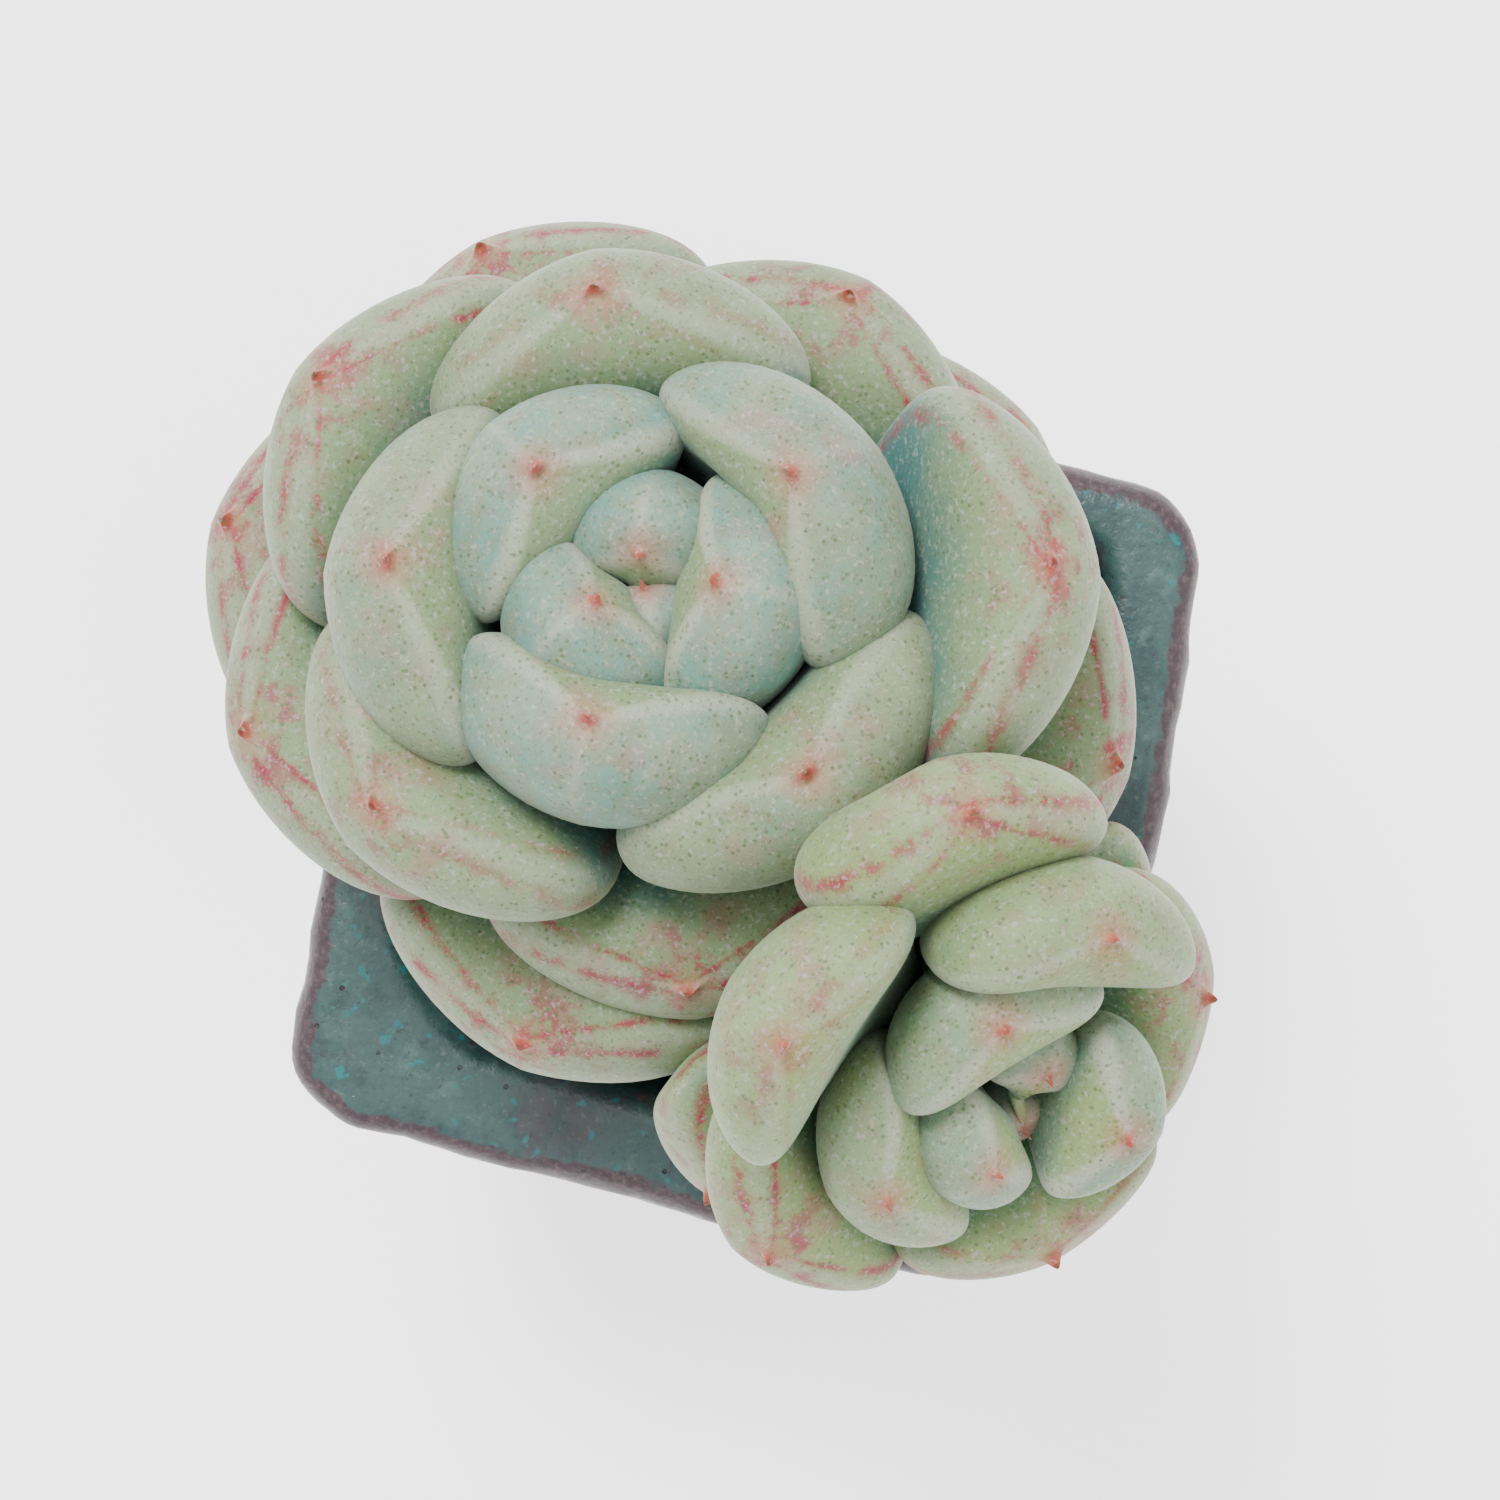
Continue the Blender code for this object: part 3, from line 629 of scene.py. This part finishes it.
Rosette = namedtuple(
    "Rosette",
    "name leaves lean towards first length width thickness spacing wide_at long_at open_at low rise curl"
    " young_curl cup young_cup lost own_ways",
)
MAIN = Rosette(
    name="main",
    leaves=22,
    lean=10,
    towards=131,
    first=170,
    length=44 * MM,
    width=39 * MM,
    thickness=11 * MM,
    spacing=1.0 * MM,
    wide_at=5.8,
    long_at=7.5,
    open_at=10,
    low=8,
    rise=60,
    curl=40,
    young_curl=55,
    cup=40,
    young_cup=38,
    lost=(),
    own_ways={  # leaf number: degrees round, degrees up, degrees of curl, length
        1: (0, 0, -5, 1),
        2: (-10, 0, 0, 1.05),
        3: (10, 0, 3, 1.05),
        4: (10, 0, 0, 1),
        5: (0, 0, -4, 1),
        6: (9, -6, -5, 1.06),
        7: (-8, 3, -8, 1),
        8: (-12, 3, 0, 1),
        10: (-6, 0, 6, 0.93),
        11: (6, 0, 0, 0.95),
        12: (-11, 0, 0, 0.92),
        13: (-8, -3, 0, 1.18),
        14: (1, -3, 0, 1.04),
        15: (-9, -15, -6, 0.86),
        16: (-2, 6, 0, 0.76),
        17: (-2, -2, 0, 0.93),
        18: (6, -22, 0, 1.04),
        19: (3, -4, 0, 0.9),
        20: (0, -7, 0, 0.86),
        21: (3, 3, 0, 0.64),
        22: (0, 5, 0, 0.85),
    },
)
OFFSET = Rosette(
    name="offset",
    leaves=16,
    lean=36,
    towards=-38,
    first=300,
    length=27 * MM,
    width=29 * MM,
    thickness=9 * MM,
    spacing=0.8 * MM,
    wide_at=4.4,
    long_at=5,
    open_at=7,
    low=4,
    rise=60,
    curl=38,
    young_curl=55,
    cup=38,
    young_cup=38,
    lost=(13,),
    own_ways={
        1: (0, 0, -25, 0.8),
        2: (8, 0, -10, 0.9),
        3: (14, -5, 0, 1.05),
        4: (10, -3, 0, 1.1),
        5: (0, 0, -22, 1.05),
        6: (-50, 0, -5, 0.92),
        7: (52, 0, -5, 1.25),
        8: (-17, -16, 5, 1.55),
        9: (-20, -5, 0, 1),
        10: (22, 12, -10, 1.2),
        11: (-7, 0, 0, 1.03),
        12: (12, 0, 0, 0.92),
        14: (0, -6, 0, 0.9),
        15: (-46, -20, -10, 0.8),
        16: (36, -16, 0, 0.9),
    },
)
OFFSET_FROM_MAIN = Vector((36.5, -33, 4)) * MM
MAIN_PLACE = (-11.5 * MM, 16.2 * MM)

# How leaves change with age, which counts in leaves from the youngest.
OPENING_POWER = 1.3  # how suddenly leaves open
WIDENING_POWER = 1.5
WIDTH_HEAD_START = 0.6
LENGTH_HEAD_START = 1.5
CURLED_AT = 1.5  # by which two thirds of the curl is there
THIN_SHARE = 0.65  # of the thickness, which the youngest leaves don't have yet
THICK_AT = 5

# How a leaf's width and thickness run from its base to its tip.
WIDEST = 0.75  # makes up for what the two powers below take off half the width
WIDTH_RISE = 0.85
WIDTH_FALL = 4.5
THICKEST = 1.18
THICKNESS_RISE = 0.5
THICKNESS_FALL = 7
BACK_SHARE = 0.78  # of the thickness that lies under the margins
KEEL = 0.35  # how far the back's round section has turned into a keel, at the tip
BASE_CUP = 0.45  # of the cup, at the leaf's base
POINT_SLENDERNESS = 0.035  # of the small point at the tip, in radians of the ball that the leaf grows from

COARSE = (14, 9)  # segments round and rings along each leaf of the frame
COARSE_FACE = 0.22  # how far its upper face stands out, for its thickness
FINE = (72, 76)
TIP_CROWDING = 1.6  # of the fine rings towards the tip
POINT_LENGTH = 1.3 * MM
PLUMP = 0.72  # how far the fine leaf's upper face stands out: it presses on the younger leaves
YOUNG_PLUMP = 0.45  # what the youngest have more, to close the bud
PLUMP_LEAVES = 3


def leaf_sizes(rosette, number):
    """The inputs of one leaf's tree: an older leaf is longer, wider and thicker, and lies lower."""
    round_by, up_by, curl_by, longer = rosette.own_ways.get(number, (0, 0, 0, 1))
    young = math.exp(-((number / rosette.open_at) ** OPENING_POWER))
    depth = rosette.spacing * number
    curl = (rosette.curl + rosette.young_curl * young) * (1 - math.exp(-number / CURLED_AT)) + curl_by
    grown_long = 1 - math.exp(-(number + LENGTH_HEAD_START) / rosette.long_at)
    grown_wide = 1 - math.exp(-(((number + WIDTH_HEAD_START) / rosette.wide_at) ** WIDENING_POWER))
    return {
        "Azimuth": math.radians(rosette.first + round_by) + GOLDEN_ANGLE * (number - 1),
        "Depth": depth,
        "Start": STEM_TOP + STEM_TAPER * depth + TOUCH_GAP,
        "Rise": math.radians(rosette.low + rosette.rise * young + up_by),
        "Curl": math.radians(curl),
        "Length": rosette.length * grown_long * longer,
        "Width": rosette.width * grown_wide,
        "Thickness": rosette.thickness * (1 - THIN_SHARE * math.exp(-number / THICK_AT)),
        "Cup": math.radians(rosette.cup + rosette.young_cup * young),
    }


def leaf_tree():
    """A leaf that grows from a ball: the ball's lower pole is the leaf's base and its upper pole the tip."""
    tree = bpy.data.node_groups.new("leaf blade", "GeometryNodeTree")
    tree.interface.new_socket("Geometry", in_out="INPUT", socket_type="NodeSocketGeometry")
    sizes = "Azimuth Depth Start Rise Curl Length Width Thickness Cup Crowding Point Age Plump".split()
    for name in ("Segments", "Rings"):
        tree.interface.new_socket(name, in_out="INPUT", socket_type="NodeSocketInt")
    for name in sizes:
        tree.interface.new_socket(name, in_out="INPUT", socket_type="NodeSocketFloat")
    tree.interface.new_socket("Skin", in_out="INPUT", socket_type="NodeSocketMaterial")
    tree.interface.new_socket("Geometry", in_out="OUTPUT", socket_type="NodeSocketGeometry")
    source = tree.nodes.new("NodeGroupInput")
    azimuth, depth, start, rise, curl, length, width, thickness, cup, crowding, point_length, age, plump = [
        Field(tree, source.outputs[name]) for name in sizes
    ]
    ball = tree.nodes.new("GeometryNodeMeshUVSphere")
    tree.links.new(source.outputs["Segments"], ball.inputs["Segments"])
    tree.links.new(source.outputs["Rings"], ball.inputs["Rings"])
    ball.inputs["Radius"].default_value = 1
    place = tree.nodes.new("GeometryNodeInputPosition")
    split = tree.nodes.new("ShaderNodeSeparateXYZ")
    tree.links.new(place.outputs[0], split.inputs[0])
    x, y, z = [Field(tree, output) for output in split.outputs]

    ring = (x * x + y * y).root()
    off_pole = ring.apply("GREATER_THAN", 1e-5)
    across = y / ring.above(1e-6) * off_pole
    upper = x / ring.above(1e-6) * off_pole * -1
    from_tip = (z.apply("MINIMUM", 1).above(-1).apply("ARCCOSINE") / math.pi) ** crowding * math.pi
    along = (from_tip.cos() + 1) / 2

    half_width = width * WIDEST * along**WIDTH_RISE * (1 - along**WIDTH_FALL).root()
    fleshy = thickness * THICKEST * along**THICKNESS_RISE * (1 - along**THICKNESS_FALL).root()
    keel = along**3 * KEEL
    face = fleshy * plump * upper.above(0)
    behind = (upper * -1).above(0)
    ridge = keel * (1 - across.size()) * behind.apply("GREATER_THAN", 0)
    back = fleshy * BACK_SHARE * ((1 - keel) * behind + ridge)
    proud = face - back
    bend = cup * (along * (1 - BASE_CUP) + BASE_CUP)
    bend_radius = half_width / bend
    turn = across * bend
    lateral = (bend_radius - proud) * turn.sin()
    lifted = bend_radius - (bend_radius - proud) * turn.cos()

    now_rise = rise + curl * along
    point = point_length * from_tip.bell(0, POINT_SLENDERNESS)
    level, steep = now_rise.cos(), now_rise.sin()
    out = start + length * (steep - rise.sin()) / curl - lifted * steep + point * level
    up = length * (rise.cos() - level) / curl - depth + lifted * level + point * steep
    at = tree.nodes.new("ShaderNodeCombineXYZ")
    at_x = out * azimuth.cos() - lateral * azimuth.sin()
    at_y = out * azimuth.sin() + lateral * azimuth.cos()
    for value, socket in zip((at_x, at_y, up), at.inputs):
        tree.links.new(value.socket, socket)

    shape = ball.outputs["Mesh"]
    for name, value in (
        ("along", along),
        ("upper", upper),
        ("edge", half_width * (1 - across.size())),
        ("keel", half_width * across.size()),
        ("age", age + along * 0),
    ):
        store = tree.nodes.new("GeometryNodeStoreNamedAttribute")
        store.inputs["Name"].default_value = name
        tree.links.new(shape, store.inputs["Geometry"])
        tree.links.new(value.socket, store.inputs["Value"])
        shape = store.outputs["Geometry"]
    moved = tree.nodes.new("GeometryNodeSetPosition")
    tree.links.new(shape, moved.inputs["Geometry"])
    tree.links.new(at.outputs[0], moved.inputs["Position"])
    real = tree.nodes.new("GeometryNodeRealizeInstances")
    tree.links.new(moved.outputs[0], real.inputs[0])
    painted = tree.nodes.new("GeometryNodeSetMaterial")
    tree.links.new(real.outputs[0], painted.inputs["Geometry"])
    tree.links.new(source.outputs["Skin"], painted.inputs["Material"])
    result = tree.nodes.new("NodeGroupOutput")
    tree.links.new(painted.outputs["Geometry"], result.inputs[0])
    return tree


def places(mesh):
    """The mesh's points, one to a row."""
    flat = np.empty(len(mesh.vertices) * 3, np.float32)
    mesh.vertices.foreach_get("co", flat)
    return flat.reshape(-1, 3).astype(float)


def frame_points(name, rings):
    """The frame's own leaf as rings of points, base pole first, each ring started and turned as the rule's.

    The rule's rings say which pole is the base, and where each of these starts.
    """
    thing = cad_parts[name]
    world_matrix = np.array(thing.matrix_world)
    points = places(thing.data) @ world_matrix[:3, :3].T + world_matrix[:3, 3]
    _, first, index = np.unique(np.round(points, 6), axis=0, return_index=True, return_inverse=True)
    points = points[first]
    index = index.reshape(-1)
    near = [set() for _ in points]
    for polygon in thing.data.polygons:
        corners = [int(index[vertex]) for vertex in polygon.vertices]
        for start, end in zip(corners, corners[1:] + corners[:1]):
            near[start].add(end)
            near[end].add(start)
    poles = [point for point in range(len(points)) if len(near[point]) == COARSE[0]]
    base = min(poles, key=lambda pole: np.linalg.norm(points[pole] - rings[0][0]))
    found = [points[[base]]]
    seen = {base}
    level = near[base]
    while len(level) > 1:
        seen |= level
        walk = [min(level)]
        while len(walk) < len(level):
            walk.append(min(near[walk[-1]] & level - set(walk)))
        loop = points[walk]
        rule = rings[len(found)] - rings[len(found)].mean(axis=0)
        tries = [np.roll(loop[::way], shift, axis=0) for way in (1, -1) for shift in range(len(loop))]
        found.append(min(tries, key=lambda turned: (((turned - turned.mean(axis=0)) - rule) ** 2).sum()))
        level = set().union(*(near[point] for point in level)) - seen
    found.append(points[sorted(level)])
    return found


def smooth_weights(places_along):
    """(four neighbours, their shares) for a smooth curve through evenly spaced values."""
    whole = np.floor(places_along).astype(int)
    t = places_along - whole
    shares = np.stack(
        [-t + 2 * t**2 - t**3, 2 - 5 * t**2 + 3 * t**3, t + 4 * t**2 - 3 * t**3, -(t**2) + t**3], axis=-1
    )
    return whole[..., None] + np.arange(-1, 3), shares / 2


def ringed(points, segments):
    """A ball's points as rings, base pole first."""
    loops = points[1:-1].reshape(-1, segments, 3)[::-1]
    return [points[-1:], *loops, points[:1]]


def finer_moves(coarse_rings, cad_rings):
    """How far each fine point moves, so that the rule's leaf becomes the frame's."""
    segments, rings = COARSE
    moves = [np.broadcast_to(cad - rule, (segments, 3)) for cad, rule in zip(cad_rings, coarse_rings)]
    over_base, over_tip = [np.roll(ring, segments // 2, axis=0) for ring in (moves[1], moves[-2])]
    moves = np.array([over_base, *moves, over_tip])
    fine_segments, fine_rings = FINE
    from_tip = (np.arange(fine_rings + 1) / fine_rings) ** TIP_CROWDING
    rows, row_shares = smooth_weights(np.clip((1 - from_tip) * rings, 0, rings - 1e-6))
    columns, column_shares = smooth_weights(np.arange(fine_segments) / fine_segments * segments)
    turned = np.einsum("rcki,ck->rci", moves[:, columns % segments], column_shares)
    full = np.einsum("fkci,fk->fci", turned[rows + 1], row_shares)
    return np.concatenate([full[0, :1], full[1:-1].reshape(-1, 3), full[-1, :1]])


def rosette_frame(rosette, crown):
    """Where the rosette's own frame goes: at its crown, and leaning."""
    lean_axis = (-math.sin(math.radians(rosette.towards)), math.cos(math.radians(rosette.towards)), 0)
    return Matrix.Translation(crown) @ Matrix.Rotation(math.radians(rosette.lean), 4, lean_axis)


BLOOM = (250, 252, 246)
BACK_BLOOM = (214, 220, 200)
# A painted highlight along the leaves' margin ridges.
MARGIN_HIGHLIGHT = (224, 228, 212)
PALE_KEEL = (220, 224, 208)
BLUSH = (204, 154, 156)
RED_MARGIN = (172, 80, 100)
RED_BLOTCH = (170, 84, 104)
PINK_TIP = (214, 150, 140)
RED_TIP = (204, 116, 112)
DRY_TIP = (110, 66, 54)
PORE = (112, 132, 98)
DUST = (96, 100, 84)
CRUMB = (70, 62, 50)


def leaf_skin(name, inner, outer, painted_shade, painted_highlight, back, tan):
    """Waxy leaf skin under a pale bloom, with tan on the backs and red on the older margins.

    The inner and outer colours are of the young and the old leaves' faces. A painted shade darkens each leaf
    towards its base, down among the other leaves, and a painted highlight lightens its raised end.
    """
    paint = Paint(name, inner)
    along, upper, tip = paint.value("along"), paint.value("upper"), paint.value("tip")
    edge, keel, age = paint.value("edge"), paint.value("keel"), paint.value("age")
    cloud = paint.noise(7 * MM, 4, 0.55)
    patch = paint.noise(2.6 * MM, 4, 0.6, seed=3)
    speck = paint.noise(0.55 * MM, 3, 0.6, seed=6)
    dust = paint.noise(0.3 * MM, 2, 0.6, seed=9)
    paint.coat(outer, (age + (cloud - 0.5) * 0.3).step(0.12, 0.45))
    # Painted light along each leaf: shade towards the base, highlight on the raised end.
    shade_to_highlight = along + (cloud - 0.5) * 0.25 + (patch - 0.5) * 0.1
    paint.coat(painted_shade, shade_to_highlight.step(0.72, 0.4) * 0.7)
    paint.coat(painted_highlight, shade_to_highlight.step(0.7, 0.95) * 0.8)
    underside = (upper * -1 + (patch - 0.5) * 0.15).step(-0.02, 0.14)
    paint.coat(back, underside)
    paint.coat(inner, underside * (age + (cloud - 0.5) * 0.4).step(0.52, 0.2) * 0.9)
    # Painted shade on the back as well, towards the base.
    paint.coat(painted_shade, underside * along.step(0.6, 0.35) * 0.6)
    tanned = underside * (patch * 0.6 + speck * 0.4).step(0.42, 0.6)
    paint.coat(tan, tanned * 0.6)
    paint.coat(BACK_BLOOM, underside * (cloud * 0.5 + along * 0.5).step(0.62, 0.82) * 0.35)
    blush = paint.noise(5 * MM, 3, seed=15).step(0.5, 0.7) * tip.step(16 * MM, 4 * MM)
    paint.coat(BLUSH, blush * age.step(0.0, 0.5) * 0.5)

    young = age.step(0.55, 0.2)
    # A painted highlight along the margin ridge, brighter on the young leaves.
    paint.coat(MARGIN_HIGHLIGHT, edge.bell(0, 0.45 * MM) * along.step(0.3, 0.55) * (young * 0.5 + 0.35))
    paint.coat(PALE_KEEL, keel.bell(0, 0.4 * MM) * underside * along.step(0.8, 0.92) * young * 0.6)
    old = age.step(0.42, 0.66)
    redness = (patch * 0.6 + speck * 0.4).step(0.42, 0.56)
    paint.coat(RED_MARGIN, edge.bell(1.1 * MM, 0.6 * MM) * along.step(0.3, 0.55) * old * redness * 0.95)
    near_tip = tip.step(11 * MM, 3 * MM)
    blotch = (patch * 0.6 + cloud * 0.2 + speck * 0.2).step(0.49, 0.58)
    paint.coat(RED_BLOTCH, near_tip * blotch * (age.step(0.3, 0.75) * 0.8))
    paint.coat(PINK_TIP, tip.step(4 * MM, 1 * MM) * 0.5)
    paint.coat(RED_TIP, tip.step(1.8 * MM, 0.7 * MM) * 0.75)
    paint.coat(DRY_TIP, tip.step(0.8 * MM, 0.3 * MM) * (age.step(0.2, 0.6) * 0.6 + 0.2))

    paint.coat(BLOOM, speck.step(0.51, 0.68) * 0.45)
    pores = paint.dots(0.8 * MM).step(0.32, 0.14)
    paint.coat(PORE, pores * (patch.step(0.35, 0.6) * 0.55 + 0.2))
    paint.coat(DUST, dust.step(0.44, 0.28) * 0.6)
    crumb = paint.dots(2.6 * MM).step(0.07, 0.03) * paint.noise(8 * MM, 2, seed=21).step(0.54, 0.66)
    paint.coat(CRUMB, crumb * 0.7)
    height = speck * (0.1 * MM) + patch * (0.16 * MM) + cloud * (0.4 * MM) + crumb * (0.15 * MM)
    return paint.done(
        0.5 + speck * 0.2,
        height,
        0.55,
        Subsurface_Weight=0.18,
        Subsurface_Radius=(0.5, 0.6, 0.25),
        Subsurface_Scale=3 * MM,
        Sheen_Weight=0.12,
        Specular_IOR_Level=0.4,
    )


# ---- The main rosette and the offset ---------------------------------------------------------------------
# Twenty-two leaves on the main stem and fifteen on the offset, which leans out over the pot's corner.

blade = leaf_tree()
skins = {
    "main": leaf_skin(
        "main_leaf",
        inner=(154, 190, 184),
        outer=(112, 150, 148),
        # Painted shade towards the leaves' bases, then a painted highlight on their raised ends.
        painted_shade=(88, 130, 118),
        painted_highlight=(180, 194, 156),
        back=(172, 188, 158),
        tan=(152, 156, 128),
    ),
    "offset": leaf_skin(
        "offset_leaf",
        inner=(168, 192, 174),
        outer=(134, 164, 136),
        painted_shade=(104, 144, 96),
        # Painted shade towards the leaves' bases, then a painted highlight on their raised ends.
        painted_highlight=(188, 200, 156),
        back=(176, 194, 152),
        tan=(160, 164, 132),
    ),
}


def grown(name, rosette, number, matrix, mesh_size, crowding, point, plump):
    """One leaf of the rosette. The mesh size is its segments round and its rings along."""
    skin = skins[rosette.name]
    made = mesh_object(name, [(0, 0, 0)], [], skin)
    modifier = made.modifiers.new("blade", "NODES")
    modifier.node_group = blade
    set_inputs(
        modifier,
        Segments=mesh_size[0],
        Rings=mesh_size[1],
        Crowding=crowding,
        Point=point,
        Plump=plump,
        Age=number / rosette.leaves,
        Skin=skin,
        **leaf_sizes(rosette, number),
    )
    evaluated_copy(made)
    made.data.transform(matrix)
    return made


main_crown_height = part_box("main_stem")[1][2] - STEM_TOP * math.sin(math.radians(MAIN.lean))
main_crown = Vector((*MAIN_PLACE, main_crown_height))
for rosette, crown in ((MAIN, main_crown), (OFFSET, main_crown + OFFSET_FROM_MAIN)):
    matrix = rosette_frame(rosette, crown)
    for number in range(1, rosette.leaves + 1):
        if number in rosette.lost:
            continue
        name = f"{rosette.name}_leaf_{number:02d}"
        draft = grown("draft", rosette, number, matrix, COARSE, 1, 0, COARSE_FACE)
        coarse = ringed(places(draft.data), COARSE[0])
        bpy.data.objects.remove(draft)
        plump = PLUMP + YOUNG_PLUMP * math.exp(-number / PLUMP_LEAVES)
        leaf = grown(f"shown_{name}", rosette, number, matrix, FINE, TIP_CROWDING, POINT_LENGTH, plump)
        moved = places(leaf.data) + finer_moves(coarse, frame_points(name, coarse))
        leaf.data.vertices.foreach_set("co", moved.astype(np.float32).ravel())
        leaf.data.update()
        from_tip = np.linalg.norm(moved - moved[0], axis=1)
        tip = leaf.data.attributes.new("tip", "FLOAT", "POINT")
        tip.data.foreach_set("value", from_tip.astype(np.float32))
        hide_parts(name)
        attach(leaf, "root")

# ---- The stems -------------------------------------------------------------------------------------------
# Woody green-brown stems, hidden by the leaves from above, ringed with the scars of leaves that have dropped.


SCARS_APART = 2.4 * MM
SCAR_DEPTH = 0.12 * MM
BARK_ROUGH = 0.25 * MM
BARK_WAVES_PER_METRE = 400
BARK = (128, 118, 84)
DARK_BARK = (88, 78, 56)
GREEN_BARK = (158, 156, 118)


def stem_skin():
    paint = Paint("stem", BARK)
    bark = paint.noise(2 * MM, 4, 0.6)
    paint.coat(DARK_BARK, bark.step(0.52, 0.4))
    paint.coat(GREEN_BARK, bark.step(0.56, 0.68) * 0.6)
    return paint.done(0.7, bark * (0.3 * MM), 0.7)


bark_skin = stem_skin()
for name in ("main_stem", "offset_stem"):
    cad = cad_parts[name]
    shape = bmesh.new()
    shape.from_mesh(cad.data)
    bmesh.ops.transform(shape, matrix=cad.matrix_world, verts=shape.verts)
    bmesh.ops.remove_doubles(shape, verts=shape.verts, dist=1e-6)
    bmesh.ops.subdivide_edges(shape, edges=shape.edges, cuts=3, use_grid_fill=True, smooth=0)
    mesh = bpy.data.meshes.new(f"shown_{name}")
    shape.normal_update()
    for vertex in shape.verts:
        scar = math.sin(vertex.co.z * 2 * math.pi / SCARS_APART) * SCAR_DEPTH
        vertex.co += vertex.normal * (scar + noise.noise(vertex.co * BARK_WAVES_PER_METRE) * BARK_ROUGH)
    shape.to_mesh(mesh)
    shape.free()
    mesh.materials.append(bark_skin)
    mesh.shade_smooth()
    stalk = bpy.data.objects.new(f"shown_{name}", mesh)
    bpy.context.scene.collection.objects.link(stalk)
    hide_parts(name)
    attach(stalk, "root")
